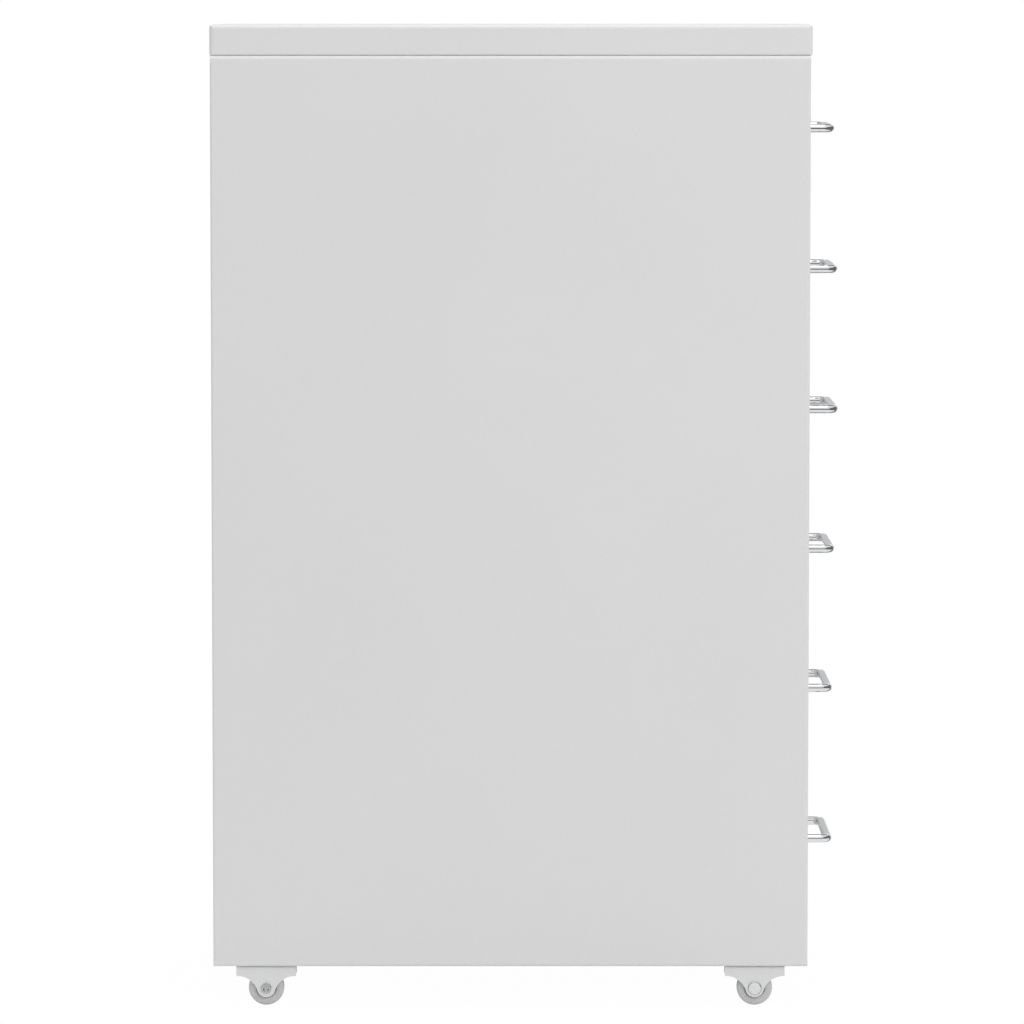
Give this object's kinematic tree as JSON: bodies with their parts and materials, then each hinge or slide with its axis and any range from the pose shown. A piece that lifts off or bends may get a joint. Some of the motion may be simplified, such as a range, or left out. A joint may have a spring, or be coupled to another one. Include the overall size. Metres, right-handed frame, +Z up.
{
  "type": "drawer cabinet",
  "caption": "Narrow sheet steel cabinet on small fixed casters, with inset drawers, bent chrome wire handles and a folded lid.",
  "frame": {"origin": "on the floor, under the middle of the cabinet's outline, handles included", "axes": "+Z up from the floor, the drawers face -Y and slide out along -Y, X runs across the width"},
  "size_m": [0.278, 0.4432, 0.6892],
  "materials": {
    "powder_coat": "satin",
    "chrome": "polished",
    "zinc_steel": "satin",
    "galvanised_sheet": "satin",
    "grey_nylon": "matte"
  },
  "bodies": {
    "cabinet": {"lid": "powder_coat", "side_panel_left": "powder_coat", "side_panel_right": "powder_coat", "back_panel": "powder_coat", "bottom_panel": "powder_coat", "top_rail": "powder_coat", "runner_left_1": "galvanised_sheet", "runner_right_1": "galvanised_sheet", "runner_left_2": "galvanised_sheet", "runner_right_2": "galvanised_sheet", "runner_left_3": "galvanised_sheet", "runner_right_3": "galvanised_sheet", "runner_left_4": "galvanised_sheet", "runner_right_4": "galvanised_sheet", "runner_left_5": "galvanised_sheet", "runner_right_5": "galvanised_sheet", "runner_left_6": "galvanised_sheet", "runner_right_6": "galvanised_sheet", "caster_bracket_front_left": "zinc_steel", "caster_axle_front_left": "zinc_steel", "caster_bracket_front_right": "zinc_steel", "caster_axle_front_right": "zinc_steel", "caster_bracket_rear_left": "zinc_steel", "caster_axle_rear_left": "zinc_steel", "caster_bracket_rear_right": "zinc_steel", "caster_axle_rear_right": "zinc_steel", "caster_screws": "zinc_steel", "caster_nuts": "zinc_steel", "lid_screws": "zinc_steel", "lid_nuts": "zinc_steel"},
    "drawer_1": {"drawer_1_tray": "powder_coat", "drawer_1_front": "powder_coat", "drawer_1_handle": "chrome", "drawer_1_handle_screws": "zinc_steel"},
    "drawer_2": {"drawer_2_tray": "powder_coat", "drawer_2_front": "powder_coat", "drawer_2_handle": "chrome", "drawer_2_handle_screws": "zinc_steel"},
    "drawer_3": {"drawer_3_tray": "powder_coat", "drawer_3_front": "powder_coat", "drawer_3_handle": "chrome", "drawer_3_handle_screws": "zinc_steel"},
    "drawer_4": {"drawer_4_tray": "powder_coat", "drawer_4_front": "powder_coat", "drawer_4_handle": "chrome", "drawer_4_handle_screws": "zinc_steel"},
    "drawer_5": {"drawer_5_tray": "powder_coat", "drawer_5_front": "powder_coat", "drawer_5_handle": "chrome", "drawer_5_handle_screws": "zinc_steel"},
    "drawer_6": {"drawer_6_tray": "powder_coat", "drawer_6_front": "powder_coat", "drawer_6_handle": "chrome", "drawer_6_handle_screws": "zinc_steel"},
    "wheel_front_left": {"caster_wheel_front_left": "grey_nylon"},
    "wheel_front_right": {"caster_wheel_front_right": "grey_nylon"},
    "wheel_rear_left": {"caster_wheel_rear_left": "grey_nylon"},
    "wheel_rear_right": {"caster_wheel_rear_right": "grey_nylon"}
  },
  "joints": [
    {"name": "drawer_1_slide", "type": "slide", "parent": "cabinet", "child": "drawer_1", "axis": [0, -1, 0], "range_m": [0, 0.3]},
    {"name": "drawer_2_slide", "type": "slide", "parent": "cabinet", "child": "drawer_2", "axis": [0, -1, 0], "range_m": [-0.0026, 0.2974]},
    {"name": "drawer_3_slide", "type": "slide", "parent": "cabinet", "child": "drawer_3", "axis": [0, -1, 0], "range_m": [-0.0033, 0.2967]},
    {"name": "drawer_4_slide", "type": "slide", "parent": "cabinet", "child": "drawer_4", "axis": [0, -1, 0], "range_m": [-0.0012, 0.2988]},
    {"name": "drawer_5_slide", "type": "slide", "parent": "cabinet", "child": "drawer_5", "axis": [0, -1, 0], "range_m": [0, 0.3]},
    {"name": "drawer_6_slide", "type": "slide", "parent": "cabinet", "child": "drawer_6", "axis": [0, -1, 0], "range_m": [0, 0.3]},
    {"name": "wheel_front_left_spin", "type": "hinge", "parent": "cabinet", "child": "wheel_front_left", "pos_m": [-0.128, -0.1598, 0.0125], "axis": [1, 0, 0], "continuous": true},
    {"name": "wheel_front_right_spin", "type": "hinge", "parent": "cabinet", "child": "wheel_front_right", "pos_m": [0.128, -0.1598, 0.0125], "axis": [1, 0, 0], "continuous": true},
    {"name": "wheel_rear_left_spin", "type": "hinge", "parent": "cabinet", "child": "wheel_rear_left", "pos_m": [-0.128, 0.1842, 0.0125], "axis": [1, 0, 0], "continuous": true},
    {"name": "wheel_rear_right_spin", "type": "hinge", "parent": "cabinet", "child": "wheel_rear_right", "pos_m": [0.128, 0.1842, 0.0125], "axis": [1, 0, 0], "continuous": true}
  ]
}
